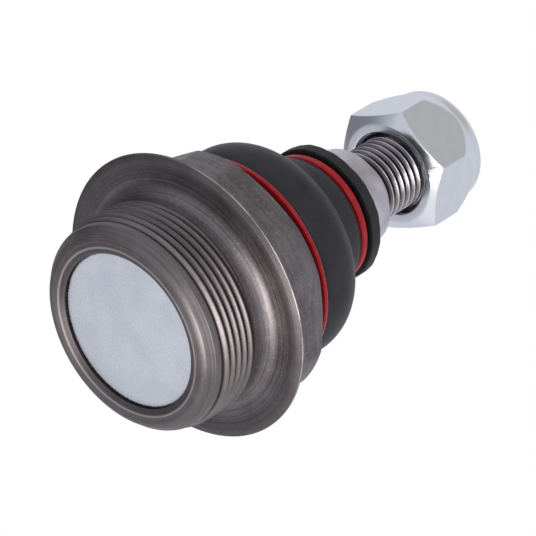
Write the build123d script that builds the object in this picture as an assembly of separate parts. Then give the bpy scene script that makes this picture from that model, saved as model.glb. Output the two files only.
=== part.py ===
from build123d import *
import os
from math import cos, radians, sin, sqrt, tan

# Screw-in suspension ball joint, in millimetres.
# The axis is Z, the origin lies at the centre of the rolled rim's end plane, and the stud points up.

# Housing, outside, from the rolled rim upwards
thread_radius = 20.0         # crest of the M40 x 1.5 thread
land_step = 0.6              # the plain land at the rim lies this far below the crest
rim_round = 2.6              # large rounding of the rim's outer edge
rim_flat = 0.9               # narrow end face of the rim
rim_land = 0.1               # straight stretch between the rounding and the thread's bevel
thread_length = 8.8
thread_bevel = 0.5
relief_depth = 0.75          # run-out groove behind the thread
relief_width = 0.4
seat_fillet = 2.5            # root between the thread and the seat face
seat_width = 3.65            # flat ring that bears on the arm
flange_bevel = 1.4           # drawn-back ring between the seat face and the flange's edge
flange_dish = 0.4            # the edge is drawn back from the seat plane by this much
flange_edge = 0.35           # narrow rim of the flange
flange_back = 2.0            # rise of the conical back from the rim to the wrench section
wrench_flats = 44.4          # hexagon across flats
wrench_corner = 1.3          # the turned corners stand this far outside the flats
wrench_bevel_width = 0.15    # corner bevel of the top face, inside the flats
wrench_bevel_angle = 30.0
wrench_height = 11.15        # seat plane to the top face
neck_wall = 3.7              # wall round the throat, under the boot's bead
neck_height = 3.95
neck_lip = 0.6               # retaining lip above the groove
neck_lip_height = 1.0

# Housing, inside, and the socket
cap_lap = 0.1                # the rim's ridge stands this far outside the cap's bore
cap_fit = 0.03
cap_ledge = 0.7              # shoulder that the cap is rolled down on
cap_recess = 1.1             # end plane to the cap's outer face
cap_thickness = 3.0
cap_bevel = 0.45
lip_overlap = 1.3            # rolled lip over the cap
lip_edge = 0.5               # thickness of the rolled lip at its edge
bearing_fit = 0.05
bearing_wall = 1.7
bearing_floor = 2.0
bearing_split = 0.6          # gap between the two bearing shells
bearing_end_gap = 2.9        # upper shell's top below the throat, clear of the tilted stud
grease_well_radius = 4.0
ball_clearance = 0.05
throat_undercut = 2.6        # the throat is this much narrower than the bore, to hold the ball in
throat_flare = 1.2           # the throat widens by this much towards the boot
throat_depth = 1.6           # least depth of the flare
spring_height = 1.3
spring_thickness = 0.7
spring_hole_radius = 5.0

# Ball stud
ball_flat_radius = 3.2       # flat at the pole inside the socket
stud_neck_radius = 7.8
stud_neck_rise = 4.6         # straight neck above the ball
stud_land_step = 0.13        # the land that the boot grips stands this far outside the taper
stud_land_angle = 25.0       # half angle of the cone up to the land
seat_end_radius = 9.3        # small end of the taper
seat_taper = 0.05            # radius lost per millimetre, a 1 in 10 taper
seat_length = 9.45
stud_thread_radius = 7.0     # M14 x 1.5
stud_relief_depth = 1.0
stud_relief_width = 1.2
stud_thread_length = 23.4    # taper's small end to the stud's tip
stud_tip_bevel = 1.2
seat_end_bevel = 0.4
centre_hole_radius = 1.6     # turning centre in the tip
centre_hole_angle = 30.0

# Dust boot and its two band clips
rubber_gap = 0.1             # between the boot and what it seals on
boot_bead_wall = 1.6
boot_wall = 1.7
boot_bulge = 1.3             # the bulge stands this far outside the clip's seat
boot_bulge_round = 6.0       # radius of the bulge's section
boot_bulge_rise = 8.65       # wrench section's top face to the widest circle
boot_bulge_sweep = 78.0      # the bulge curves this far round before it turns into the neck
boot_neck_rise = 21.75
boot_shoulder = 0.9          # cone from the neck down into the clip's groove
boot_grip_wall = 1.2         # wall between the stud and the small clip
clip_groove_depth = 1.5
clip_groove_width = 1.6
lip_groove_depth = 0.4       # cut below the clip's seat, under the lip
lip_groove_width = 0.55
boot_lip_rim = 1.8           # the lip stands this far outside the clip's seat
boot_lip_height = 2.25
clip_gap = 0.05
clip_edge_round = 0.25
large_clip_rise = 2.7        # wrench section's top face to the clip
large_clip_width = 0.95
large_clip_thickness = 1.3
small_clip_width = 1.5
small_clip_thickness = 1.05

# Lock nut
nut_flats = 22.2
nut_turn = 10.0              # angle at which the nut stands on the thread
nut_height = 15.0
nut_standoff = 10.15         # taper's small end to the nut's near face
nut_bevel_width = 1.0        # corner bevel of the near face, inside the flats
nut_bevel_angle = 34.0
nut_corner_height = 7.9      # near face to the far end of the corner edges
nut_cone_height = 12.1       # near face to the end of the long far cone
nut_countersink = 1.1
nut_fit = 0.05
collar_step = 0.25           # the collar lies this far inside the flats
collar_round = 2.1
collar_wall = 2.2            # collar's wall round the locking ring
collar_mouth = 0.5           # the collar is closed in over the ring by this much
insert_height = 2.6
insert_fit = 0.05

# Heights and radii that follow from the sizes above
land_radius = thread_radius - land_step
rim_crest_radius = land_radius - rim_round
ridge_radius = rim_crest_radius - rim_flat
cap_bore_radius = ridge_radius - cap_lap
bore_radius = cap_bore_radius - cap_ledge
bearing_radius = bore_radius - bearing_fit
socket_radius = bearing_radius - bearing_wall
ball_radius = socket_radius - ball_clearance
throat_radius = bore_radius - throat_undercut
cap_inner_z = cap_recess + cap_thickness
bearing_base_z = cap_inner_z + spring_height
ball_z = bearing_base_z + bearing_floor + socket_radius
throat_z = ball_z + sqrt(bore_radius**2 - throat_radius**2)
land_end_z = rim_round + rim_land
thread_start_z = land_end_z + thread_bevel
thread_end_z = thread_start_z + thread_length
seat_z = thread_end_z + relief_width + seat_fillet
relief_radius = thread_radius - relief_depth
seat_inner_radius = relief_radius + seat_fillet
seat_outer_radius = seat_inner_radius + seat_width
flange_radius = seat_outer_radius + flange_bevel
throat_top_radius = throat_radius + throat_flare
neck_radius = throat_top_radius + neck_wall
wrench_top_z = seat_z + wrench_height
neck_groove_top_z = wrench_top_z + neck_height
neck_top_z = neck_groove_top_z + neck_lip_height
throat_top_z = max(neck_top_z, throat_z + throat_depth)
clip_seat_radius = neck_radius + rubber_gap + boot_bead_wall
boot_neck_z = wrench_top_z + boot_neck_rise
clip_groove_z = boot_neck_z + boot_shoulder
clip_groove_top_z = clip_groove_z + clip_groove_width
boot_lip_z = clip_groove_top_z + lip_groove_width
boot_top_z = boot_lip_z + boot_lip_height
seat_end_z = boot_lip_z + seat_length
taper_radius = seat_end_radius + seat_taper * seat_length
stud_land_radius = taper_radius + stud_land_step
boot_hole_radius = stud_land_radius + rubber_gap
clip_groove_radius = boot_hole_radius + boot_grip_wall
lip_groove_radius = clip_groove_radius - lip_groove_depth
boot_neck_radius = clip_groove_radius + clip_groove_depth
boot_lip_radius = clip_groove_radius + boot_lip_rim
stud_tip_z = seat_end_z + stud_thread_length
nut_base_z = seat_end_z + nut_standoff
nut_top_z = nut_base_z + nut_height
nut_bore_radius = stud_thread_radius + nut_fit
collar_radius = nut_flats / 2 - collar_step
insert_radius = collar_radius - collar_wall


def turned(outline):
    """Solid of revolution about Z of a closed outline drawn as radius and height."""
    return revolve(Plane.XZ * make_face(outline.edges()), Axis.Z)


def sphere_height(radius, at_radius):
    """Height above its centre where a sphere is at_radius wide."""
    return sqrt(radius**2 - at_radius**2)


def turned_hexagon(flats, low_z, high_z, outline):
    """Hexagonal bar with a corner on X, turned down to an outline where that lies inside it."""
    corner = flats / 2 / cos(radians(30))
    bar = Pos(0, 0, low_z) * extrude(RegularPolygon(corner, 6), high_z - low_z)
    return bar & turned(outline)


def make_housing():
    """Turned steel body: rolled rim, thread land, seat flange, wrench section and boot neck."""
    round_mid = rim_round * sin(radians(45))
    fillet_mid = seat_fillet * sin(radians(45))
    flange_edge_z = seat_z + flange_dish
    flange_back_z = flange_edge_z + flange_edge
    wrench_base_z = flange_back_z + flange_back
    lip_inner_radius = cap_bore_radius - lip_overlap
    section = (
        Line((lip_inner_radius, cap_recess - lip_edge), (ridge_radius, 0))
        + Line((ridge_radius, 0), (rim_crest_radius, 0))
        + ThreePointArc(
            (rim_crest_radius, 0),
            (rim_crest_radius + round_mid, rim_round - round_mid),
            (land_radius, rim_round))
        + Polyline(
            (land_radius, rim_round), (land_radius, land_end_z), (thread_radius, thread_start_z),
            (thread_radius, thread_end_z - relief_depth),
            (relief_radius, thread_end_z), (relief_radius, seat_z - seat_fillet))
        + ThreePointArc(
            (relief_radius, seat_z - seat_fillet),
            (seat_inner_radius - fillet_mid, seat_z - seat_fillet + fillet_mid),
            (seat_inner_radius, seat_z))
        + Polyline(
            (seat_inner_radius, seat_z), (seat_outer_radius, seat_z),
            (flange_radius, flange_edge_z), (flange_radius, flange_back_z),
            (wrench_flats / 2, wrench_base_z), (neck_radius, wrench_base_z),
            (neck_radius, neck_groove_top_z), (neck_radius + neck_lip, neck_groove_top_z),
            (neck_radius + neck_lip, neck_top_z), (throat_top_radius, throat_top_z),
            (throat_radius, throat_z))
        + RadiusArc((throat_radius, throat_z), (bore_radius, ball_z), bore_radius)
        + Polyline(
            (bore_radius, ball_z), (bore_radius, cap_inner_z), (cap_bore_radius, cap_inner_z),
            (cap_bore_radius, cap_recess), (lip_inner_radius, cap_recess),
            (lip_inner_radius, cap_recess - lip_edge)))
    corner_radius = wrench_flats / 2 + wrench_corner
    bevel_radius = wrench_flats / 2 - wrench_bevel_width
    corner_top_z = wrench_top_z - (corner_radius - bevel_radius) * tan(radians(wrench_bevel_angle))
    wrench = turned_hexagon(
        wrench_flats, flange_back_z, wrench_top_z,
        Polyline(
            (neck_radius, flange_back_z), (corner_radius, flange_back_z),
            (corner_radius, corner_top_z), (bevel_radius, wrench_top_z),
            (neck_radius, wrench_top_z), close=True))
    return turned(section) + wrench


def make_end_cap():
    """Zinc-plated closing plate that the rim is rolled over."""
    radius = cap_bore_radius - cap_fit
    return turned(Polyline(
        (0, cap_recess), (radius, cap_recess), (radius, cap_inner_z - cap_bevel),
        (radius - cap_bevel, cap_inner_z), (0, cap_inner_z), close=True))


def make_disc_spring():
    """Conical spring washer that presses the lower shell against the ball."""
    rise = spring_height - spring_thickness
    return turned(Polyline(
        (spring_hole_radius, cap_inner_z), (bearing_radius, cap_inner_z + rise),
        (bearing_radius, bearing_base_z), (spring_hole_radius, cap_inner_z + spring_thickness),
        close=True))


def make_lower_bearing():
    """Moulded lower shell with a grease well under the ball."""
    top_z = ball_z - bearing_split / 2
    top_radius = sphere_height(socket_radius, bearing_split / 2)
    well_z = ball_z - sphere_height(socket_radius, grease_well_radius)
    outline = (
        Polyline(
            (grease_well_radius, well_z), (grease_well_radius, bearing_base_z),
            (bearing_radius, bearing_base_z), (bearing_radius, top_z), (top_radius, top_z))
        + RadiusArc((top_radius, top_z), (grease_well_radius, well_z), socket_radius))
    return turned(outline)


def make_upper_bearing():
    """Moulded upper shell held under the throat, open for the stud."""
    base_height = bearing_split / 2
    top_height = throat_z - ball_z - bearing_end_gap
    outer_base = sphere_height(bearing_radius, base_height)
    outer_top = sphere_height(bearing_radius, top_height)
    inner_base = sphere_height(socket_radius, base_height)
    inner_top = sphere_height(socket_radius, top_height)
    low_z = ball_z + base_height
    top_z = ball_z + top_height
    outline = (
        Line((inner_base, low_z), (outer_base, low_z))
        + RadiusArc((outer_base, low_z), (outer_top, top_z), -bearing_radius)
        + Line((outer_top, top_z), (inner_top, top_z))
        + RadiusArc((inner_top, top_z), (inner_base, low_z), socket_radius))
    return turned(outline)


def make_ball_stud():
    """Forged and ground stud: ball, neck, sealing land, taper and threaded end."""
    flat_z = ball_z - sphere_height(ball_radius, ball_flat_radius)
    neck_z = ball_z + sphere_height(ball_radius, stud_neck_radius)
    cone_z = neck_z + stud_neck_rise
    land_z = cone_z + (stud_land_radius - stud_neck_radius) / tan(radians(stud_land_angle))
    relief_end_radius = stud_thread_radius - stud_relief_depth
    thread_z = seat_end_z + stud_relief_width
    outline = (
        Line((0, flat_z), (ball_flat_radius, flat_z))
        + ThreePointArc((ball_flat_radius, flat_z), (ball_radius, ball_z), (stud_neck_radius, neck_z))
        + Polyline(
            (stud_neck_radius, neck_z), (stud_neck_radius, cone_z), (stud_land_radius, land_z),
            (stud_land_radius, boot_lip_z), (taper_radius, boot_lip_z),
            (seat_end_radius, seat_end_z - seat_end_bevel), (seat_end_radius - seat_end_bevel, seat_end_z),
            (relief_end_radius, seat_end_z), (relief_end_radius, thread_z),
            (stud_thread_radius, thread_z + stud_relief_depth),
            (stud_thread_radius, stud_tip_z - stud_tip_bevel),
            (stud_thread_radius - stud_tip_bevel, stud_tip_z), (centre_hole_radius, stud_tip_z),
            (0, stud_tip_z - centre_hole_radius / tan(radians(centre_hole_angle))), (0, flat_z)))
    return turned(outline)


def make_dust_boot():
    """Moulded rubber gaiter: bead in the housing's groove, round bulge, drawn-in neck and sealing lip."""
    bead_radius = neck_radius + rubber_gap
    over_lip_radius = bead_radius + neck_lip
    bead_low_z = wrench_top_z + rubber_gap
    bead_high_z = neck_groove_top_z - rubber_gap
    bulge_z = wrench_top_z + boot_bulge_rise
    centre_radius = clip_seat_radius + boot_bulge - boot_bulge_round
    inner_round = boot_bulge_round - boot_wall
    sweep_cos = cos(radians(boot_bulge_sweep))
    sweep_sin = sin(radians(boot_bulge_sweep))
    outer_start = (
        clip_seat_radius, bulge_z - sphere_height(boot_bulge_round, clip_seat_radius - centre_radius))
    outer_end = (centre_radius + boot_bulge_round * sweep_cos, bulge_z + boot_bulge_round * sweep_sin)
    inner_start = (over_lip_radius, bulge_z - sphere_height(inner_round, over_lip_radius - centre_radius))
    inner_end = (centre_radius + inner_round * sweep_cos, bulge_z + inner_round * sweep_sin)
    lip_hole = taper_radius + rubber_gap
    neck_inner = (boot_neck_radius - boot_wall, boot_neck_z - boot_wall)
    outside = (
        Polyline((bead_radius, bead_low_z), (clip_seat_radius, bead_low_z), outer_start)
        + ThreePointArc(outer_start, (centre_radius + boot_bulge_round, bulge_z), outer_end)
        + Spline(
            outer_end, (boot_neck_radius, boot_neck_z),
            tangents=((-sweep_sin, sweep_cos), (-sweep_cos, sweep_sin)))
        + Polyline(
            (boot_neck_radius, boot_neck_z), (clip_groove_radius, clip_groove_z),
            (clip_groove_radius, clip_groove_top_z), (lip_groove_radius, clip_groove_top_z),
            (lip_groove_radius, boot_lip_z), (boot_lip_radius, boot_lip_z),
            (boot_lip_radius, boot_top_z), (lip_hole, boot_top_z), (boot_hole_radius, boot_lip_z),
            (boot_hole_radius, neck_inner[1]), neck_inner))
    inside = (
        Spline(
            neck_inner, inner_end,
            tangents=((sweep_cos, -sweep_sin), (sweep_sin, -sweep_cos)))
        + ThreePointArc(inner_end, (centre_radius + inner_round, bulge_z), inner_start)
        + Polyline(
            inner_start, (over_lip_radius, bead_high_z), (bead_radius, bead_high_z),
            (bead_radius, bead_low_z)))
    return turned(outside + inside)


def make_band_clip(inner_radius, low_z, width, thickness):
    """Closed band of flat lacquered wire round the boot."""
    section = RectangleRounded(thickness, width, clip_edge_round)
    place = Pos(inner_radius + clip_gap + thickness / 2, low_z + width / 2)
    return revolve(Plane.XZ * (place * section), Axis.Z)


def make_lock_nut():
    """Hexagonal nut whose far end is turned to a long cone and a collar closed in over a locking ring."""
    corner = nut_flats / 2 / cos(radians(30))
    bevel_radius = nut_flats / 2 - nut_bevel_width
    bevel_z = nut_base_z + (corner - bevel_radius) * tan(radians(nut_bevel_angle))
    dome_radius = collar_radius - collar_round
    recess_radius = insert_radius + insert_fit
    mouth_radius = recess_radius - collar_mouth
    recess_top_z = nut_top_z - collar_mouth
    recess_low_z = recess_top_z - insert_height - insert_fit
    outline = (
        Polyline(
            (0, nut_base_z), (bevel_radius, nut_base_z), (corner, bevel_z),
            (corner, nut_base_z + nut_corner_height), (collar_radius, nut_base_z + nut_cone_height),
            (collar_radius, nut_top_z - collar_round))
        + RadiusArc(
            (collar_radius, nut_top_z - collar_round), (dome_radius, nut_top_z), -collar_round)
        + Polyline((dome_radius, nut_top_z), (0, nut_top_z), (0, nut_base_z)))
    hollow = turned(Polyline(
        (0, nut_base_z), (nut_bore_radius + nut_countersink, nut_base_z),
        (nut_bore_radius, nut_base_z + nut_countersink), (nut_bore_radius, recess_low_z),
        (recess_radius, recess_low_z), (recess_radius, recess_top_z),
        (mouth_radius, recess_top_z), (mouth_radius, nut_top_z), (0, nut_top_z), close=True))
    body = turned_hexagon(nut_flats, nut_base_z, nut_top_z, outline) - hollow
    return Rot(0, 0, nut_turn) * body


def make_nut_insert():
    """Plastic locking ring held in the nut's collar."""
    top_z = nut_top_z - collar_mouth - insert_fit / 2
    ring = Circle(insert_radius) - Circle(nut_bore_radius)
    return Pos(0, 0, top_z - insert_height) * extrude(ring, insert_height)


parts = {
    "housing": make_housing(),
    "end_cap": make_end_cap(),
    "disc_spring": make_disc_spring(),
    "lower_bearing": make_lower_bearing(),
    "upper_bearing": make_upper_bearing(),
    "ball_stud": make_ball_stud(),
    "dust_boot": make_dust_boot(),
    "large_clip": make_band_clip(
        clip_seat_radius, wrench_top_z + large_clip_rise, large_clip_width, large_clip_thickness),
    "small_clip": make_band_clip(
        clip_groove_radius, clip_groove_z + clip_gap, small_clip_width, small_clip_thickness),
    "lock_nut": make_lock_nut(),
    "nut_insert": make_nut_insert(),
}
os.makedirs("parts", exist_ok=True)
for name, solid in parts.items():
    solid.label = name
    export_step(solid, f"parts/{name}.step")
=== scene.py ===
import math

import bmesh
import bpy
from mathutils import Matrix, Vector


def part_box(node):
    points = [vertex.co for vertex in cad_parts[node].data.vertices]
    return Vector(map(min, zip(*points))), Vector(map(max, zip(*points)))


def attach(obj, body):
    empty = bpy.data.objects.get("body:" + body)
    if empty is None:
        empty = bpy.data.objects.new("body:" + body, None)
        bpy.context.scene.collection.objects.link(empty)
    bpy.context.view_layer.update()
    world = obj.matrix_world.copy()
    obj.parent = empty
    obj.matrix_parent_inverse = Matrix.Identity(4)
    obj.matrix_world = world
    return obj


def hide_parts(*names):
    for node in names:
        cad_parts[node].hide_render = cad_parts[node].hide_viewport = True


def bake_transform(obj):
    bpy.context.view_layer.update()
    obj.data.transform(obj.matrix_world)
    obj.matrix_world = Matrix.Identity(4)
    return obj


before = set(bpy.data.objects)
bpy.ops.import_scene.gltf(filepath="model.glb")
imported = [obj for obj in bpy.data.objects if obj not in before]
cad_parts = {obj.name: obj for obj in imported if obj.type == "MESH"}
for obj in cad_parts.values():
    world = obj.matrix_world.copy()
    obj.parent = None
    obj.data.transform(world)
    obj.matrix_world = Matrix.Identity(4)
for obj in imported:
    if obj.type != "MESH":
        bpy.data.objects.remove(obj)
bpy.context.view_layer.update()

# Housing
# Turned from hexagonal steel bar, then phosphated and oiled, so it is brown-grey and satin. Its rim is
# rolled over the closing cap, its M40 x 1.5 thread screws into the arm up to the flange, and the
# hexagon above, with its corners turned off, takes the wrench. The pieces' sizes are in millimetres.
MM = 0.001
cap_face_z = 1.1
cap_inner_z = 4.1
cap_bore_radius = 15.8
rim_lip_radius = 14.5
rim_lip_z = cap_face_z - 0.65
rim_lip_draft = 0.25
rim_ridge_radius = 15.8
rim_face_radius = 16.0
rim_round = 2.6
rim_round_end = -57
rim_cone_end = (19.1, 1.6)
rim_step = (19.2, 1.64)
rim_land_radius = 19.4
rim_land_z = 2.1
rim_land_top_z = 2.95
thread_crest = 20.0
thread_root = 19.2
thread_root_z = 3.1
thread_end_z = 12.0
thread_pitch = 1.5
thread_ridge_z = 3.0
thread_ridge_end_z = thread_end_z - 0.3
seat_z = 14.9
seat_fillet = 2.5
seat_fillet_radius = 21.75
seat_radius = 25.4
flange_radius = 26.8
flange_edge_z = 15.3
flange_back_z = 15.65
flange_back_slope = 2.0 / 4.6
wrench_flat_radius = 22.2
wrench_corner_radius = 23.5
wrench_bevel_radius = wrench_flat_radius - 0.15
wrench_bevel_slope = math.tan(math.radians(30))
wrench_top_z = 26.05
neck_radius = 17.4
neck_lip_radius = 18.0
neck_groove_top_z = 30.0
neck_top_z = 31.0
throat_radius = 12.5
throat_flare = 1.2
ball_z = 20.75
bore_radius = 15.1
throat_z = ball_z + math.sqrt(bore_radius ** 2 - throat_radius ** 2)
fine_edge = 0.1
rim_ridge_edge = 0.12
turned_edge = 0.15
soft_edge = 0.2
wrench_foot_edge = 0.25
seat_edge = 0.4


def arc(centre_radius, centre_z, radius, start, end, steps):
    """Outline points (radius, height) on a circle, by angles in degrees."""
    points = []
    for step in range(steps + 1):
        angle = math.radians(start + (end - start) * step / steps)
        points.append((centre_radius + radius * math.cos(angle), centre_z + radius * math.sin(angle)))
    return points


def eased(corners, steps=4):
    """Outline points (radius, height) of corners that also say how far each is rounded off."""
    most_of_side = 0.48
    points = []
    for index, (radius, height, easing) in enumerate(corners):
        here = Vector((radius, height))
        if easing == 0:
            points.append((radius, height))
            continue
        to_before = Vector(corners[index - 1][:2]) - here
        to_after = Vector(corners[(index + 1) % len(corners)][:2]) - here
        start = here + to_before.normalized() * min(easing, most_of_side * to_before.length)
        end = here + to_after.normalized() * min(easing, most_of_side * to_after.length)
        for step in range(steps + 1):
            share = step / steps
            spot = start.lerp(here, share).lerp(here.lerp(end, share), share)
            points.append((spot.x, spot.y))
    return points


def piece(name, verts, faces, sharp):
    """Object of one closed mesh, smooth but for edges sharper than the given angle in degrees."""
    same_spot = 0.0001 * MM
    mesh = bpy.data.meshes.new(name)
    mesh.from_pydata(verts, [], faces)
    work = bmesh.new()
    work.from_mesh(mesh)
    bmesh.ops.remove_doubles(work, verts=work.verts, dist=same_spot)
    bmesh.ops.recalc_face_normals(work, faces=work.faces)
    for face in work.faces:
        face.smooth = True
    work.to_mesh(mesh)
    work.free()
    mesh.set_sharp_from_angle(angle=math.radians(sharp))
    made = bpy.data.objects.new(name, mesh)
    bpy.context.scene.collection.objects.link(made)
    weighted = made.modifiers.new("even_shading", "WEIGHTED_NORMAL")
    weighted.keep_sharp = True
    return made


def lathe(name, outline, columns=240, sharp=35):
    """Closed mesh turned about Z from outline(angle), a loop of (radius, height)."""
    verts = []
    for column in range(columns):
        angle = math.tau * column / columns
        loop = outline(angle)
        verts += [(r * math.cos(angle) * MM, r * math.sin(angle) * MM, z * MM) for r, z in loop]
    rows = len(loop)
    faces = []
    for column in range(columns):
        beside = (column + 1) % columns
        for row in range(rows):
            above = (row + 1) % rows
            faces.append((column * rows + row, beside * rows + row,
                          beside * rows + above, column * rows + above))
    return piece(name, verts, faces, sharp)


def thread_ridge(name, root, crest, start_z, end_z, crest_flat, root_flat, start_turn, per_turn):
    """Helical ridge of a right-hand thread that grows out of its root and fades into it again."""
    sunk = root - 0.1
    crest_edge = 0.1
    fade_turns = 0.5
    least_growth = 0.02
    base = (thread_pitch - root_flat) / 2
    flat = crest_flat / 2
    turns = (end_z - start_z) / thread_pitch
    steps = int(turns * per_turn)
    verts = []
    for step in range(steps + 1):
        turn = step / per_turn
        growth = min(1.0, turn / fade_turns, (turns - turn) / fade_turns)
        top = sunk + (crest - sunk) * max(growth, least_growth)
        angle = math.tau * (turn + start_turn)
        section = ((sunk, -base), (top - crest_edge, -flat), (top, crest_edge - flat),
                   (top, flat - crest_edge), (top - crest_edge, flat), (sunk, base))
        for radius, rise in section:
            verts.append((radius * math.cos(angle) * MM, radius * math.sin(angle) * MM,
                          (start_z + thread_pitch * turn + rise) * MM))
    sides = len(section)
    faces = [tuple(reversed(range(sides))), tuple(sides * steps + corner for corner in range(sides))]
    for step in range(steps):
        low = sides * step
        for corner in range(sides):
            beside = (corner + 1) % sides
            faces.append((low + corner, low + beside, low + sides + beside, low + sides + corner))
    return piece(name, verts, faces, sharp=40)


def wrench_radius(angle):
    """Radius of the hexagon with turned corners; a corner lies on X."""
    off_flat = (angle % (math.tau / 6)) - math.tau / 12
    return min(wrench_corner_radius, wrench_flat_radius / math.cos(off_flat))


def housing_outline(angle):
    """Section of the housing, from the rolled lip up the outside and back down through the socket."""
    wrench = wrench_radius(angle)
    wrench_foot_z = flange_back_z + (flange_radius - wrench) * flange_back_slope
    wrench_edge_z = wrench_top_z - (wrench - wrench_bevel_radius) * wrench_bevel_slope
    socket_end = math.degrees(math.acos(throat_radius / bore_radius))
    return [
        *eased([
            (rim_lip_radius, rim_lip_z, turned_edge),
            (rim_ridge_radius, 0, rim_ridge_edge),
            (rim_face_radius, 0, 0)]),
        *arc(rim_land_radius - rim_round, rim_round, rim_round, -90, rim_round_end, steps=8),
        rim_cone_end,
        rim_step,
        (rim_land_radius, rim_land_z),
        (rim_land_radius, rim_land_top_z),
        (thread_root, thread_root_z),
        (thread_root, thread_end_z),
        *arc(seat_fillet_radius, seat_z - seat_fillet, seat_fillet, 180, 90, steps=12),
        *eased([
            (seat_fillet_radius, seat_z, 0),
            (seat_radius, seat_z, seat_edge),
            (flange_radius, flange_edge_z, fine_edge),
            (flange_radius, flange_back_z, fine_edge),
            (wrench, wrench_foot_z, wrench_foot_edge),
            (wrench, wrench_edge_z, turned_edge),
            (wrench_bevel_radius, wrench_top_z, fine_edge),
            (neck_radius, wrench_top_z, soft_edge),
            (neck_radius, neck_groove_top_z, fine_edge),
            (neck_lip_radius, neck_groove_top_z, fine_edge),
            (neck_lip_radius, neck_top_z, soft_edge),
            (throat_radius + throat_flare, neck_top_z, soft_edge),
            (throat_radius, throat_z, 0)]),
        *arc(0, ball_z, bore_radius, socket_end, 0, steps=6),
        (bore_radius, cap_inner_z),
        (cap_bore_radius, cap_inner_z),
        (cap_bore_radius, cap_face_z),
        (rim_lip_radius + rim_lip_draft, cap_face_z)]


def linear(code):
    """Linear colour of an sRGB hex value."""
    shares = [int(code[place:place + 2], 16) / 255 for place in (1, 3, 5)]
    return (*[s / 12.92 if s <= 0.04045 else ((s + 0.055) / 1.055) ** 2.4 for s in shares], 1.0)


def fill(tree, node, sockets):
    """Link the sockets of a node that are given an output, and set the others."""
    for socket, value in sockets.items():
        if isinstance(value, bpy.types.NodeSocket):
            tree.links.new(value, node.inputs[socket])
        else:
            node.inputs[socket].default_value = value


def add(tree, kind, sockets, output=0, **settings):
    """Output of a new node of a kind, with its settings made and its sockets filled."""
    node = tree.nodes.new("ShaderNode" + kind)
    for name, value in settings.items():
        setattr(node, name, value)
    fill(tree, node, sockets)
    return node.outputs[output]


def new_finish(name):
    """Empty material, its nodes and its shader."""
    finish = bpy.data.materials.new(name)
    finish.use_nodes = True
    return finish, finish.node_tree, finish.node_tree.nodes["Principled BSDF"]


def turned_space(tree):
    """Place on a turned piece in millimetres: point, radius, height and direction from the axis."""
    place = add(tree, "TexCoord", {}, "Object")
    point = add(tree, "VectorMath", {0: place, "Scale": 1 / MM}, operation="SCALE")
    along_x = add(tree, "SeparateXYZ", {0: point}, "X")
    level = add(tree, "CombineXYZ", {"X": along_x, "Y": along_x.node.outputs["Y"]})
    radius = add(tree, "VectorMath", {0: level}, "Value", operation="LENGTH")
    way = add(tree, "VectorMath", {0: level}, operation="NORMALIZE")
    return {"point": point, "radius": radius, "height": along_x.node.outputs["Z"], "way": way}


def tool_marks(tree, space, width, run):
    """Noise drawn out round the axis, as a tool leaves it: width across and, at the housing's thread, run
    along. Real marks are about 0.1 mm wide or less, so all are drawn wider to show in the render."""
    turned_by = add(tree, "VectorMath", {0: space["way"], "Scale": thread_crest / run}, operation="SCALE")
    turned_x = add(tree, "SeparateXYZ", {0: turned_by}, "X")
    out = add(tree, "Math", {0: space["radius"], 1: width}, operation="DIVIDE")
    rise = add(tree, "Math", {0: space["height"], 1: width}, operation="DIVIDE")
    spot = add(tree, "CombineXYZ", {"X": out, "Y": rise, "Z": turned_x})
    return add(tree, "TexNoise", {"Vector": spot, "W": turned_x.node.outputs["Y"], "Scale": 1.0},
               noise_dimensions="4D")


def zone(tree, *limits):
    """Share of the surface that lies in a zone, whose limits each hold a value, where it is outside the
    zone and where it is inside."""
    share = 1.0
    for value, outside, inside in limits:
        step = add(tree, "MapRange", {"Value": value, "From Min": outside, "From Max": inside},
                   interpolation_type="SMOOTHSTEP")
        share = add(tree, "Math", {0: share, 1: step}, operation="MULTIPLY")
    return share


def coated(tree, colour, *coats):
    """Colour under coats that each hold a share of the surface, how thick the coat is and its colour."""
    for share, thickness, code in coats:
        cover = add(tree, "Math", {0: share, 1: thickness}, operation="MULTIPLY")
        colour = add(tree, "Mix", {0: cover, 6: colour, 7: linear(code)}, 2, data_type="RGBA")
    return colour


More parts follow.
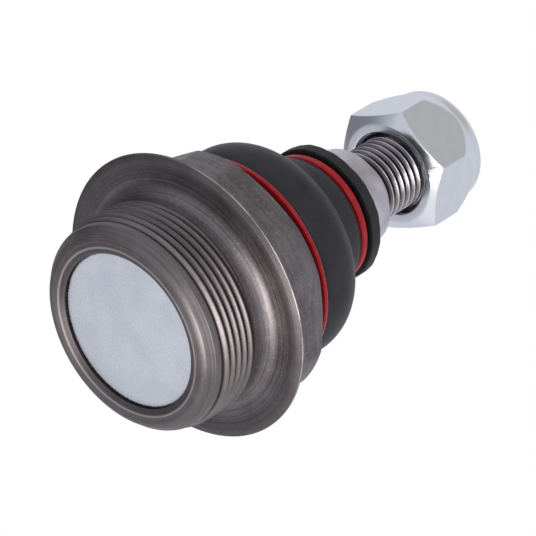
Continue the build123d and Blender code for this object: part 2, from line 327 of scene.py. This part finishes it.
def phosphated_steel():
    """Turned steel under a thin brown phosphate: satin, with tool rings, cloudy patches and bright specks
    where the phosphate is missing.
    Shade is painted into the thread's grooves, on the rim, the flange's seat face and the rolled lip, and
    highlights are painted on the rim's ridge and the flange's front edge."""
    finish, tree, shader = new_finish("phosphated_turned_steel")
    space = turned_space(tree)
    point = space["point"]
    radius = space["radius"]
    height = space["height"]
    middle = 0.5
    cloud_size = 5.0
    mottle_size = 0.7
    fleck_size = 0.28
    pit_size = 0.45
    clouds = add(tree, "TexNoise", {"Vector": point, "Scale": 1 / cloud_size, "Detail": 4.0})
    mottle = add(tree, "TexNoise", {"Vector": point, "Scale": 1 / mottle_size})
    flecks = add(tree, "TexNoise", {"Vector": point, "Scale": 1 / fleck_size})
    pits = add(tree, "TexNoise", {"Vector": point, "Scale": 1 / pit_size})
    # The rings are weak on the wrench section, whose flats are as drawn.
    ring_depth = add(tree, "MapRange", {"Value": height, "From Min": flange_back_z + 1.85,
                                        "From Max": flange_back_z + 0.85, "To Min": 0.25, "To Max": 1.0},
                     interpolation_type="SMOOTHSTEP")
    fine_marks = tool_marks(tree, space, width=0.25, run=70)
    marks = add(tree, "Math", {0: fine_marks, 1: middle}, operation="SUBTRACT")
    rings = add(tree, "Math", {0: marks, 1: ring_depth, 2: middle}, operation="MULTIPLY_ADD")
    broad_rings = tool_marks(tree, space, width=0.9, run=25)
    cloud_tone = add(tree, "Math", {0: clouds, 1: 0.45}, operation="MULTIPLY")
    tone = add(tree, "Math", {0: broad_rings, 1: 0.55, 2: cloud_tone}, operation="MULTIPLY_ADD")
    # More specks show in the fillet and on the seat by it.
    by_fillet = zone(tree, (height, thread_end_z + 0.2, thread_end_z + 1.0),
                     (radius, seat_radius - 0.4, seat_radius - 2.4))
    specks = add(tree, "Math", {0: by_fillet, 1: 0.09, 2: flecks}, operation="MULTIPLY_ADD")
    # Painted shade: the flange's seat face is painted darker, a little less towards its outer edge.
    seat_painted_shade_depth = add(tree, "MapRange", {"Value": radius, "From Min": seat_radius - 0.9,
                                        "From Max": seat_radius + 0.2, "To Min": 0.52, "To Max": 0.38},
                     interpolation_type="SMOOTHSTEP")
    ragged = add(tree, "Math", {0: mottle, 1: 0.5, 2: height}, operation="MULTIPLY_ADD")
    # Painted highlight: a bright line along the flange's front edge, strongest on one side and broken by
    # the clouds.
    highlight_side = (0.49, -0.87, 0)
    to_highlight_side = add(tree, "VectorMath", {0: space["way"], 1: highlight_side}, "Value", operation="DOT_PRODUCT")
    highlight_share = zone(tree, (to_highlight_side, 0.35, 0.85), (clouds, 0.3, 0.6))
    highlight_strength = add(tree, "Math", {0: highlight_share, 1: 0.6, 2: 0.1}, operation="MULTIPLY_ADD")
    seat_painted_shade = zone(tree, (radius, seat_fillet_radius + 0.25, seat_fillet_radius + 1.75),
                   (height, seat_z + 0.6, seat_z + 0.4))
    # Painted highlight: a pale line along the rim's ridge.
    ridge_painted_highlight = zone(tree, (radius, rim_ridge_radius - 0.25, rim_ridge_radius - 0.05),
                    (radius, rim_face_radius + 0.15, rim_face_radius - 0.05), (height, 0.2, 0.1))
    # Painted shade: the lip's slope down to the cap is painted darker.
    lip_slope_painted_shade = zone(tree, (radius, rim_ridge_radius - 0.1, rim_ridge_radius - 0.3),
                        (height, rim_lip_z + 0.35, rim_lip_z + 0.25))
    # Painted shade: the inner wall of the rolled lip is painted near black.
    lip_wall_painted_shade = zone(tree, (radius, rim_lip_radius + 0.32, rim_lip_radius + 0.1),
                       (height, rim_lip_z, rim_lip_z + 0.15))
    # Painted shade: the thread's roots and lower flanks are painted near black, from a ragged start at the
    # land to the thread's end.
    thread_groove_painted_shade = zone(tree, (ragged, rim_land_top_z, thread_root_z + 0.1),
                     (height, thread_end_z - 0.1, thread_end_z - 0.7),
                     (radius, thread_root + 0.4, thread_root + 0.02))
    edge_painted_highlight = zone(tree, (radius, flange_radius - 0.14, flange_radius - 0.06),
                   (height, flange_edge_z + 0.1, flange_edge_z + 0.04))
    below_flange = zone(tree, (height, thread_end_z + 0.6, thread_end_z - 0.2))
    # Painted shade: the rim and the land below the thread are painted darker all round.
    rim_painted_shade = zone(tree, (height, rim_land_top_z + 0.05, rim_land_top_z - 0.35))
    colour = coated(
        tree, linear("#696365"),
        (zone(tree, (tone, 0.36, 0.64)), 1.0, "#807a7c"),
        (zone(tree, (mottle, 0.5, 0.75)), 0.35, "#928a89"),
        (zone(tree, (rings, 0.52, 0.72)), 0.45, "#a39a99"),
        (zone(tree, (rings, 0.46, 0.3)), 0.5, "#494446"),
        (below_flange, 0.1, "#b0a6a2"),
        (seat_painted_shade, seat_painted_shade_depth, "#4a4446"),
        (rim_painted_shade, 0.3, "#494446"),
        (zone(tree, (specks, 0.73, 0.81)), 0.4, "#d8cbc0"),
        (zone(tree, (pits, 0.3, 0.24)), 0.6, "#35302f"),
        (ridge_painted_highlight, 0.5, "#cfc4bf"),
        (lip_slope_painted_shade, 0.35, "#3b3536"),
        (thread_groove_painted_shade, 0.85, "#241c19"),
        (lip_wall_painted_shade, 1.0, "#241c19"),
        (edge_painted_highlight, highlight_strength, "#e6dedb"))
    ring_rough = add(tree, "Math", {0: rings, 1: 0.12, 2: 0.31}, operation="MULTIPLY_ADD")
    normal = add(tree, "Bump", {"Height": rings, "Distance": 0.016 * MM})
    normal = add(tree, "Bump", {"Height": broad_rings, "Distance": 0.02 * MM, "Normal": normal})
    fill(tree, shader, {
        "Base Color": colour,
        "Metallic": 1.0,
        "Roughness": add(tree, "Math", {0: clouds, 1: 0.14, 2: ring_rough}, operation="MULTIPLY_ADD"),
        "Anisotropic": 0.55,
        "Anisotropic Rotation": 0.25,
        "Tangent": add(tree, "Tangent", {}, direction_type="RADIAL", axis="Z"),
        "Normal": add(tree, "Bump", {"Height": mottle, "Distance": 0.012 * MM, "Normal": normal})})
    return finish


def dress(finish, *objects):
    """Give objects a finish."""
    for made in objects:
        made.data.materials.clear()
        made.data.materials.append(finish)


housing = lathe("housing_body", housing_outline, columns=360)
housing_thread = thread_ridge("housing_thread", thread_root, thread_crest, thread_ridge_z,
                              thread_ridge_end_z, crest_flat=0.4, root_flat=0.1, start_turn=0.2,
                              per_turn=120)
dress(phosphated_steel(), housing, housing_thread)
for made in (housing, housing_thread):
    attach(made, "housing")
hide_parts("housing")

# End cap
# A stamped steel disc, zinc plated and left matte, that closes the socket. The housing's rim is
# rolled over its edge; a ragged dark ring just inside the lip is partly dirt in the joint and partly
# painted shade under the lip.


def matte_zinc():
    """Matte zinc plate: pale blue-grey, with soft clouds and fine crystals that dull its shine. Real
    crystals are finer than 0.05 mm, and are drawn coarser to show in the render."""
    finish, tree, shader = new_finish("matte_zinc_plate")
    space = turned_space(tree)
    crystal_size = 0.35
    cloud_size = 6.0
    crystals = add(tree, "TexNoise", {"Vector": space["point"], "Scale": 1 / crystal_size})
    clouds = add(tree, "TexNoise", {"Vector": space["point"], "Scale": 1 / cloud_size, "Detail": 3.0})
    ragged = add(tree, "Math", {0: crystals, 1: 0.5, 2: space["radius"]}, operation="MULTIPLY_ADD")
    normal = add(tree, "Bump", {"Height": crystals, "Distance": 0.01 * MM})
    fill(tree, shader, {
        "Base Color": coated(
            tree, linear("#bdc1ca"),
            (zone(tree, (clouds, 0.3, 0.7)), 1.0, "#c6cad2"),
            (zone(tree, (crystals, 0.45, 0.75)), 0.4, "#969ca9"),
            # Partly painted shade: a ragged near-black ring just inside the rolled lip, also standing for
            # dirt in the joint.
            (zone(tree, (ragged, rim_lip_radius - 0.05, rim_lip_radius + 0.35)), 1.0, "#1d1c1c")),
        "Metallic": 0.75,
        "Roughness": add(tree, "Math", {0: crystals, 1: 0.15, 2: 0.5}, operation="MULTIPLY_ADD"),
        "Normal": add(tree, "Bump", {"Height": clouds, "Distance": 0.015 * MM, "Normal": normal})})
    return finish


dress(matte_zinc(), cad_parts["end_cap"])

# Disc spring and bearing shells
# Inside the socket, out of sight: a blued conical spring washer presses a moulded acetal shell up
# against the ball, and a second shell holds the ball under the throat.


def blued_spring_steel():
    """Hardened strip, blued in the tempering oven: dark blue-grey, with faint patches from rolling."""
    finish, tree, shader = new_finish("blued_spring_steel")
    space = turned_space(tree)
    patch_size = 1.2
    patches = add(tree, "TexNoise", {"Vector": space["point"], "Scale": 1 / patch_size, "Detail": 3.0})
    fill(tree, shader, {
        "Base Color": coated(tree, linear("#3c404b"), (patches, 1.0, "#5d5f6a")),
        "Metallic": 1.0,
        "Roughness": add(tree, "Math", {0: patches, 1: 0.2, 2: 0.25}, operation="MULTIPLY_ADD")})
    return finish


def moulded_acetal():
    """Natural acetal, moulded: milky off-white with a slight sheen and soft flow marks."""
    finish, tree, shader = new_finish("moulded_acetal")
    space = turned_space(tree)
    flow_size = 4.0
    flow = add(tree, "TexNoise", {"Vector": space["point"], "Scale": 1 / flow_size, "Detail": 3.0})
    fill(tree, shader, {
        "Base Color": coated(tree, linear("#dcd8cb"), (flow, 1.0, "#ece9df")),
        "Roughness": add(tree, "Math", {0: flow, 1: 0.15, 2: 0.3}, operation="MULTIPLY_ADD"),
        "IOR": 1.48})
    return finish


dress(blued_spring_steel(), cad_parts["disc_spring"])
dress(moulded_acetal(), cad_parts["lower_bearing"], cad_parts["upper_bearing"])

# Ball stud
# Forged alloy steel, ground on the ball and the taper, with a rolled M14 x 1.5 thread. The ball
# lies in the shells, and the taper is drawn into the knuckle by the nut.
ball_radius = 13.3
ball_flat_radius = 3.2
stud_neck_radius = 7.8
stud_neck_z = 32.0
stud_cone_z = 36.1
stud_land_radius = 9.9
stud_land_z = 40.6
taper_z = 50.85
taper_radius = 9.77
taper_end_radius = 9.3
seat_end_z = 60.3
seat_end_bevel = 0.4
stud_root = 6.15
stud_crest = 7.0
stud_tip_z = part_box("ball_stud")[1][2] / MM
stud_thread_z = seat_end_z + 0.7
stud_thread_end_z = stud_tip_z - 0.6
tip_bevel = 1.6
tip_radius = 5.6
centre_hole_radius = 1.6
centre_hole_depth = 2.8
stud_cone_edge = 0.8
ground_edge = 0.05


def stud_outline(angle):
    """Section of the stud, the same all round, from the ball's flat to the centre hole in the tip."""
    flat_angle = -math.degrees(math.acos(ball_flat_radius / ball_radius))
    neck_angle = math.degrees(math.acos(stud_neck_radius / ball_radius))
    return [
        (0, ball_z + ball_radius * math.sin(math.radians(flat_angle))),
        *arc(0, ball_z, ball_radius, flat_angle, neck_angle, steps=28),
        *eased([
            (stud_neck_radius, stud_neck_z, 0),
            (stud_neck_radius, stud_cone_z, stud_cone_edge),
            (stud_land_radius, stud_land_z, stud_cone_edge),
            (stud_land_radius, taper_z, ground_edge),
            (taper_radius, taper_z, ground_edge),
            (taper_end_radius, seat_end_z - seat_end_bevel, fine_edge),
            (taper_end_radius - seat_end_bevel, seat_end_z, fine_edge),
            (stud_root, seat_end_z, soft_edge),
            (stud_root, stud_tip_z - tip_bevel, fine_edge),
            (tip_radius, stud_tip_z, soft_edge),
            (centre_hole_radius, stud_tip_z, fine_edge),
            (0, stud_tip_z - centre_hole_depth, 0)])]


def ground_steel():
    """Ground alloy steel: bright lilac-grey with fine rings, with painted shade on the thread's flanks and
    near-black painted shade in its roots.
    """
    finish, tree, shader = new_finish("ground_alloy_steel")
    space = turned_space(tree)
    radius = space["radius"]
    height = space["height"]
    cloud_size = 3.0
    rings = tool_marks(tree, space, width=0.16, run=30)
    clouds = add(tree, "TexNoise", {"Vector": space["point"], "Scale": 1 / cloud_size, "Detail": 3.0})
    from_seat = (height, seat_end_z - 0.05, seat_end_z + 0.05)
    to_bevel = (height, stud_tip_z - 1.0, stud_tip_z - tip_bevel)
    # Painted shade: the thread's flanks are painted darker and its roots near black.
    flank_painted_shade = zone(tree, (radius, stud_crest - 0.06, stud_crest - 0.2), from_seat, to_bevel)
    root_painted_shade = zone(tree, (radius, stud_root + 0.5, stud_root + 0.1), from_seat, to_bevel)
    ring_rough = add(tree, "Math", {0: rings, 1: 0.1, 2: 0.18}, operation="MULTIPLY_ADD")
    fill(tree, shader, {
        "Base Color": coated(
            tree, linear("#b9b4bb"),
            (zone(tree, (clouds, 0.3, 0.7)), 1.0, "#ccc8ce"),
            (zone(tree, (rings, 0.5, 0.8)), 0.35, "#8f898e"),
            (flank_painted_shade, 0.75, "#5b5556"),
            (root_painted_shade, 0.9, "#1b1a1b")),
        "Metallic": 1.0,
        "Roughness": add(tree, "Math", {0: clouds, 1: 0.1, 2: ring_rough}, operation="MULTIPLY_ADD"),
        "Anisotropic": 0.4,
        "Anisotropic Rotation": 0.25,
        "Tangent": add(tree, "Tangent", {}, direction_type="RADIAL", axis="Z"),
        "Normal": add(tree, "Bump", {"Height": rings, "Distance": 0.006 * MM})})
    return finish


stud = lathe("ball_stud_body", stud_outline, columns=180)
stud_thread = thread_ridge("stud_thread", stud_root, stud_crest, stud_thread_z, stud_thread_end_z,
                           crest_flat=0.25, root_flat=0.15, start_turn=0.0, per_turn=72)
dress(ground_steel(), stud, stud_thread)
for made in (stud, stud_thread):
    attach(made, "stud")
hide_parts("ball_stud")

# Dust boot
# Chloroprene rubber, moulded in one piece: a bead in the housing's groove, a round bulge full of
# grease, a drawn-in neck that grips the stud and a trimmed lip that seals on the knuckle. It is split
# here at one level into a lower and an upper piece.
boot_low_z, boot_top_z = (corner[2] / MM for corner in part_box("dust_boot"))
boot_bead_radius = 17.5
boot_bead_top_z = neck_groove_top_z - 0.1
boot_over_lip_radius = neck_lip_radius + 0.12
boot_clip_seat = 19.1
boot_clip_seat_top_z = 30.0
boot_wall = 1.1
bulge_centre = 14.4
bulge_z = 34.7
bulge_round = 6.0
bulge_inner_round = bulge_round - boot_wall
bulge_start = -38.5
bulge_inner_start = -31
bulge_sweep = 78
boot_split_z = 38.0
boot_neck = (12.7, 47.8)
boot_neck_inner = (boot_neck[0] - boot_wall, boot_neck[1] - boot_wall)
clip_groove_radius = 11.2
clip_groove_z = 48.7
clip_groove_top_z = 50.3
under_lip_radius = 10.8
lip_low_z = 50.85
lip_radius = 12.9
lip_top_z = boot_top_z - 0.05
lip_hole_radius = 9.95
lip_waves = ((5, 0.6, 0.05), (13, 0.0, 0.03), (29, 0.0, 0.02))
grip_radius = 10.0
rubber_edge = 0.25
trimmed_edge = 0.3


def drawn_in(start, end, steps):
    """Curve that leaves the bulge along its surface and turns up into the neck."""
    pull = 2.4
    first = Vector(start)
    last = Vector(end)
    reach = (last - first).length / pull
    way = Vector((-math.sin(math.radians(bulge_sweep)), math.cos(math.radians(bulge_sweep))))
    first_pull = first + way * reach
    last_pull = last + Vector((way.y, way.x)) * reach
    points = []
    for step in range(1, steps):
        t = step / steps
        spot = (first * (1 - t) ** 3 + first_pull * 3 * t * (1 - t) ** 2
                + last_pull * 3 * t * t * (1 - t) + last * t ** 3)
        points.append((spot.x, spot.y))
    return points


def split_angle(radius):
    """Angle at which a circle about the bulge's centre crosses the level where the boot is split."""
    return math.degrees(math.asin((boot_split_z - bulge_z) / radius))


def boot_bulge_outline(angle):
    """Section of the boot's lower piece, the same all round, from its bead to the split."""
    return [
        *eased([
            (boot_bead_radius, boot_low_z, fine_edge),
            (boot_clip_seat, boot_low_z, trimmed_edge),
            (boot_clip_seat, boot_clip_seat_top_z, 0)]),
        *arc(bulge_centre, bulge_z, bulge_round, bulge_start, split_angle(bulge_round), steps=28),
        *arc(bulge_centre, bulge_z, bulge_inner_round,
             split_angle(bulge_inner_round), bulge_inner_start, steps=16),
        (boot_over_lip_radius, boot_bead_top_z),
        (boot_bead_radius, boot_bead_top_z)]


def boot_neck_outline(angle):
    """Section of the boot's upper piece, from the split to the lip, which is trimmed by hand."""
    uneven = sum(size * math.sin(waves * angle + start) for waves, start, size in lip_waves)
    outer = arc(bulge_centre, bulge_z, bulge_round, split_angle(bulge_round), bulge_sweep, steps=24)
    inner = arc(bulge_centre, bulge_z, bulge_inner_round,
                bulge_sweep, split_angle(bulge_inner_round), steps=12)
    return [
        *outer,
        *drawn_in(outer[-1], boot_neck, steps=16),
        *eased([
            (*boot_neck, rubber_edge),
            (clip_groove_radius, clip_groove_z, ground_edge),
            (clip_groove_radius, clip_groove_top_z, ground_edge),
            (under_lip_radius, clip_groove_top_z, fine_edge),
            (under_lip_radius, lip_low_z, rubber_edge),
            (lip_radius + uneven, lip_low_z, trimmed_edge),
            (lip_radius + uneven, lip_top_z + uneven / 2, trimmed_edge),
            (lip_hole_radius, lip_top_z, turned_edge),
            (grip_radius, lip_low_z, fine_edge),
            (grip_radius, boot_neck_inner[1], soft_edge),
            (*boot_neck_inner, soft_edge)]),
        *reversed(drawn_in(inner[0], boot_neck_inner, steps=10)),
        *inner]


def chloroprene():
    """Moulded chloroprene: charcoal, satin, with a fine leathery skin, pale bloom and dust. The skin's
    grain is about 0.1 mm in the mould, and is drawn coarser to show in the render."""
    finish, tree, shader = new_finish("moulded_chloroprene")
    space = turned_space(tree)
    radius = space["radius"]
    height = space["height"]
    skin_size = 0.3
    bloom_size = 3.5
    dust_size = 0.22
    skin = add(tree, "TexNoise", {"Vector": space["point"], "Scale": 1 / skin_size})
    bloom = add(tree, "TexNoise", {"Vector": space["point"], "Scale": 1 / bloom_size, "Detail": 4.0})
    dust = add(tree, "TexNoise", {"Vector": space["point"], "Scale": 1 / dust_size})
    lip = zone(tree, (height, lip_low_z - 0.2, lip_low_z))
    # Painted shade: the groove under the lip, above the small clip, is painted near black.
    groove = zone(tree, (height, clip_groove_top_z - 0.3, clip_groove_top_z),
                  (radius, lip_radius - 0.5, lip_radius - 1.0))
    lip_rough = add(tree, "Math", {0: lip, 1: 0.15, 2: 0.38}, operation="MULTIPLY_ADD")
    normal = add(tree, "Bump", {"Height": skin, "Distance": 0.035 * MM})
    fill(tree, shader, {
        "Base Color": coated(
            tree, linear("#1d191f"),
            (zone(tree, (bloom, 0.35, 0.7)), 1.0, "#28242b"),
            (zone(tree, (dust, 0.7, 0.78)), 0.3, "#77777c"),
            (lip, 0.5, "#1f2021"),
            (groove, 1.0, "#0b0b0b")),
        "Roughness": add(tree, "Math", {0: bloom, 1: 0.16, 2: lip_rough}, operation="MULTIPLY_ADD"),
        "IOR": 1.45,
        "Normal": add(tree, "Bump", {"Height": bloom, "Distance": 0.06 * MM, "Normal": normal})})
    return finish


boot_low = lathe("boot_bulge", boot_bulge_outline, columns=240)
boot_high = lathe("boot_neck", boot_neck_outline, columns=240)
dress(chloroprene(), boot_low, boot_high)
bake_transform(boot_low)
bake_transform(boot_high)
for made in (boot_low, boot_high):
    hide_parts("dust_boot")

# Clips
# Two bands of flat spring wire, lacquered red before they were closed, one round the boot's bead
# and one in the groove of its neck.
band_edge = 0.45


def red_lacquer():
    """Stoved red lacquer over steel: glossy, paler in thin spots, with darker streaks round the band."""
    finish, tree, shader = new_finish("stoved_red_lacquer")
    space = turned_space(tree)
    thin_size = 1.6
    flow = tool_marks(tree, space, width=0.5, run=8)
    thin = add(tree, "TexNoise", {"Vector": space["point"], "Scale": 1 / thin_size, "Detail": 3.0})
    fill(tree, shader, {
        "Base Color": coated(
            tree, linear("#a3141c"),
            (zone(tree, (thin, 0.3, 0.7)), 1.0, "#b51e25"),
            (zone(tree, (flow, 0.45, 0.75)), 0.4, "#6f0e14")),
        "Roughness": add(tree, "Math", {0: flow, 1: 0.12, 2: 0.16}, operation="MULTIPLY_ADD"),
        "Specular IOR Level": 0.3,
        "Normal": add(tree, "Bump", {"Height": flow, "Distance": 0.02 * MM})})
    return finish


lacquer = red_lacquer()
for name, node, body, thickness in (("large_clip_band", "large_clip", "housing", 1.3),
                                    ("small_clip_band", "small_clip", "neck_clip", 1.05)):
    low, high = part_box(node)
    outer = high[0] / MM
    band = eased([
        (outer - thickness, low[2] / MM, fine_edge),
        (outer, low[2] / MM, band_edge),
        (outer, high[2] / MM, band_edge),
        (outer - thickness, high[2] / MM, fine_edge)])
    made = lathe(name, lambda angle: band, columns=240)
    dress(lacquer, made)
    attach(made, body)
    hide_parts(node)

# Lock nut
# Cold-formed steel, bright zinc plated and passivated clear. The near face is bevelled at the
# corners, the far end is drawn to a long cone, and its collar is closed in over a locking ring.
nut_base_z, nut_top_z = (corner[2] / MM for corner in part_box("lock_nut"))
nut_flat_radius = 11.1
nut_corner_radius = nut_flat_radius / math.cos(math.radians(30))
nut_turn = math.radians(10)
nut_bore = 7.06
nut_countersink_radius = 8.15
nut_countersink_depth = 1.1
nut_bearing_radius = 9.75
nut_bevel_slope = math.tan(math.radians(27))
nut_corner_end = 7.9
nut_cone_end_z = nut_base_z + 12.1
collar_radius = 10.85
collar_round = 2.1
collar_round_z = nut_top_z - collar_round
collar_round_start = 4
collar_mouth = 8.25
collar_mouth_inner = 8.2
collar_mouth_z = nut_top_z - 0.5
ring_seat_radius = 8.7
ring_seat_z = nut_top_z - 3.15
formed_edge = 0.3
cone_edge = 0.5
collar_foot_edge = 1.6


def hexagon_radius(angle):
    """Radius of the nut's hexagon at an angle, with its corners a little round."""
    crispness = 260
    total = 0.0
    for side in range(6):
        away = math.cos(angle - nut_turn - math.tau * (side + 0.5) / 6)
        total += max(away, 0.0) ** crispness
    return nut_flat_radius / total ** (1 / crispness)


def nut_outline(angle):
    """Section of the nut, from the bore over the near face, the flats and the cone to the collar."""
    flats = hexagon_radius(angle)
    bevel_z = nut_base_z + (flats - nut_bearing_radius) * nut_bevel_slope
    cone_slope = (nut_cone_end_z - nut_base_z - nut_corner_end) / (nut_corner_radius - collar_radius)
    return [
        *eased([
            (nut_bore, nut_base_z + nut_countersink_depth, fine_edge),
            (nut_countersink_radius, nut_base_z, turned_edge),
            (nut_bearing_radius, nut_base_z, formed_edge),
            (flats, bevel_z, formed_edge),
            (flats, nut_cone_end_z - (flats - collar_radius) * cone_slope, cone_edge),
            (collar_radius, nut_cone_end_z, collar_foot_edge),
            (collar_radius, collar_round_z, 0)]),
        *arc(collar_radius - collar_round, collar_round_z, collar_round, collar_round_start, 90, steps=12),
        (collar_mouth, nut_top_z),
        (collar_mouth_inner, collar_mouth_z),
        (ring_seat_radius, collar_mouth_z),
        (ring_seat_radius, ring_seat_z),
        (nut_bore, ring_seat_z)]


def bright_zinc():
    """Bright zinc with a clear blue passivation: mirror-like, with faint forming waves and dull marks."""
    finish, tree, shader = new_finish("bright_zinc_plate")
    space = turned_space(tree)
    wave_size = 5.0
    cloud_size = 2.2
    mark_size = 0.6
    waves = add(tree, "TexNoise", {"Vector": space["point"], "Scale": 1 / wave_size})
    clouds = add(tree, "TexNoise", {"Vector": space["point"], "Scale": 1 / cloud_size, "Detail": 4.0})
    marks = add(tree, "TexNoise", {"Vector": space["point"], "Scale": 1 / mark_size, "Detail": 4.0})
    normal = add(tree, "Bump", {"Height": waves, "Distance": 0.04 * MM})
    fill(tree, shader, {
        "Base Color": coated(
            tree, linear("#d6dae2"),
            (clouds, 1.0, "#e4e6ea"),
            (zone(tree, (marks, 0.66, 0.74)), 0.25, "#9ea3ac")),
        "Metallic": 1.0,
        "Roughness": add(tree, "Math", {0: clouds, 1: 0.1, 2: 0.1}, operation="MULTIPLY_ADD"),
        "Normal": add(tree, "Bump", {"Height": clouds, "Distance": 0.006 * MM, "Normal": normal})})
    return finish


nut = lathe("lock_nut_body", nut_outline, columns=360)
dress(bright_zinc(), nut)
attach(nut, "nut")
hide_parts("lock_nut")

# Locking ring
# A plain nylon ring pressed into the nut's collar, which grips the stud's thread so that the nut
# can't shake loose.


def moulded_nylon():
    """Natural nylon, moulded and trimmed: bluish white and satin, with soft turning marks."""
    finish, tree, shader = new_finish("moulded_nylon")
    space = turned_space(tree)
    rings = tool_marks(tree, space, width=0.3, run=12)
    fill(tree, shader, {
        "Base Color": coated(tree, linear("#c9d0d6"), (rings, 1.0, "#e1e5e8")),
        "Roughness": add(tree, "Math", {0: rings, 1: 0.15, 2: 0.35}, operation="MULTIPLY_ADD"),
        "IOR": 1.53})
    return finish


dress(moulded_nylon(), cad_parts["nut_insert"])

# Camera
# The photograph looks at the closed end from below, with the stud pointing away to the upper right.
# The camera's distance is in metres, and its place puts the flange's middle on its pixel there.
view_angle = math.radians(50.0)
axis_rise = math.radians(31.5)
view_azimuth = math.radians(19)
image_side = 536
focal_pixels = 4134
flange_pixel = (187.1, 295.4)
flange_middle_z = 15.8
flange_point = Vector((0, 0, flange_middle_z * MM))
camera_distance = 0.716
sensor_width = 36
axis = Vector((0, 0, 1))
camera_side = Vector((math.sin(view_azimuth), -math.cos(view_azimuth), 0))
toward = camera_side * math.sin(view_angle) - axis * math.cos(view_angle)
axis_in_view = (axis - toward * toward.z).normalized()
across = toward.cross(axis_in_view)
right = axis_in_view * math.cos(axis_rise) - across * math.sin(axis_rise)
up = axis_in_view * math.sin(axis_rise) + across * math.cos(axis_rise)
camera = bpy.data.objects.new("camera", bpy.data.cameras.new("camera"))
camera.data.sensor_width = sensor_width
camera.data.lens = sensor_width * focal_pixels / image_side
camera.data.clip_start = 0.01
aside = (flange_pixel[0] - image_side / 2) / focal_pixels * camera_distance
below = (flange_pixel[1] - image_side / 2) / focal_pixels * camera_distance
place = flange_point - right * aside + up * below + toward * camera_distance
camera.matrix_world = Matrix((
    (right.x, up.x, toward.x, place.x), (right.y, up.y, toward.y, place.y),
    (right.z, up.z, toward.z, place.z), (0, 0, 0, 1)))
bpy.context.scene.collection.objects.link(camera)
bpy.context.scene.camera = camera

# Floor
# A plain pale sheet under the rim, six metres square. Only its upper side shows, and light passes it,
# so that the camera and the lamps can stand below it.
floor_half = 3.0
floor_z = -0.05 * MM
floor_corners = ((-1, -1), (1, -1), (1, 1), (-1, 1))
floor_mesh = bpy.data.meshes.new("floor")
floor_verts = [(x * floor_half, y * floor_half, floor_z) for x, y in floor_corners]
floor_mesh.from_pydata(floor_verts, [], [(0, 1, 2, 3)])
floor = bpy.data.objects.new("floor", floor_mesh)
bpy.context.scene.collection.objects.link(floor)
floor.visible_diffuse = False
floor.visible_glossy = False
floor.visible_transmission = False
floor.visible_shadow = False
floor_finish, floor_tree, floor_shader = new_finish("pale_sheet")
fill(floor_tree, floor_shader, {"Base Color": linear("#f6f6f4"), "Roughness": 0.7})
from_below = add(floor_tree, "NewGeometry", {}, "Backfacing")
clear = add(floor_tree, "BsdfTransparent", {})
sheet = add(floor_tree, "MixShader", {0: from_below, 1: floor_shader.outputs[0], 2: clear})
fill(floor_tree, floor_tree.nodes["Material Output"], {"Surface": sheet})
dress(floor_finish, floor)

# Light
# A white tent lights the joint from all sides. It is a little greyer to the camera's left by the stud's
# end, darker behind on the left, and white below on the right. A soft lamp stands below the rim, and a
# weak one by the camera, with distances and sizes in metres.
lamp_target_z = 42.0
lamp_target = axis * lamp_target_z * MM
right_side = Vector((math.cos(view_azimuth), math.sin(view_azimuth), 0))


def out_along(way):
    """Direction out from the joint; way is towards the camera, to its right and along the axis."""
    return (camera_side * way[0] + right_side * way[1] + axis * way[2]).normalized()


for name, way, distance, size, power, colour in (
        ("lamp_below", (0.15, 0.36, -0.93), 0.7, 0.36, 3.2, "#fffaf6"),
        ("lamp_front", (0.72, 0.05, -0.69), 0.8, 0.25, 0.6, "#fffaf8")):
    light = bpy.data.lights.new(name, "AREA")
    light.size = size
    light.energy = power
    light.color = linear(colour)[:3]
    lamp = bpy.data.objects.new(name, light)
    lamp.location = lamp_target + out_along(way) * distance
    lamp.rotation_euler = out_along(way).to_track_quat("Z", "Y").to_euler()
    bpy.context.scene.collection.objects.link(lamp)

world = bpy.data.worlds.new("white_tent")
bpy.context.scene.world = world
world.use_nodes = True
tent = world.node_tree
look = add(tent, "TexCoord", {}, "Generated")
cloth = linear("#dcdfe6")
for way, spread, code in (((0.66, -0.4, 0.64), 0.72, "#c4c2c0"), ((-0.75, -0.6, -0.3), 0.6, "#85858c"),
                          ((-0.2, 0.7, -0.69), 0.7, "#ffffff")):
    facing = add(tent, "VectorMath", {0: look, 1: out_along(way)}, "Value", operation="DOT_PRODUCT")
    cloth = coated(tent, cloth, (zone(tent, (facing, spread, 1.0)), 1.0, code))
seen_straight = add(tent, "LightPath", {}, "Is Camera Ray")
fill(tent, tent.nodes["Background"], {"Color": coated(tent, cloth, (seen_straight, 1.0, "#ffffff"))})
bpy.context.scene.view_settings.view_transform = "Standard"
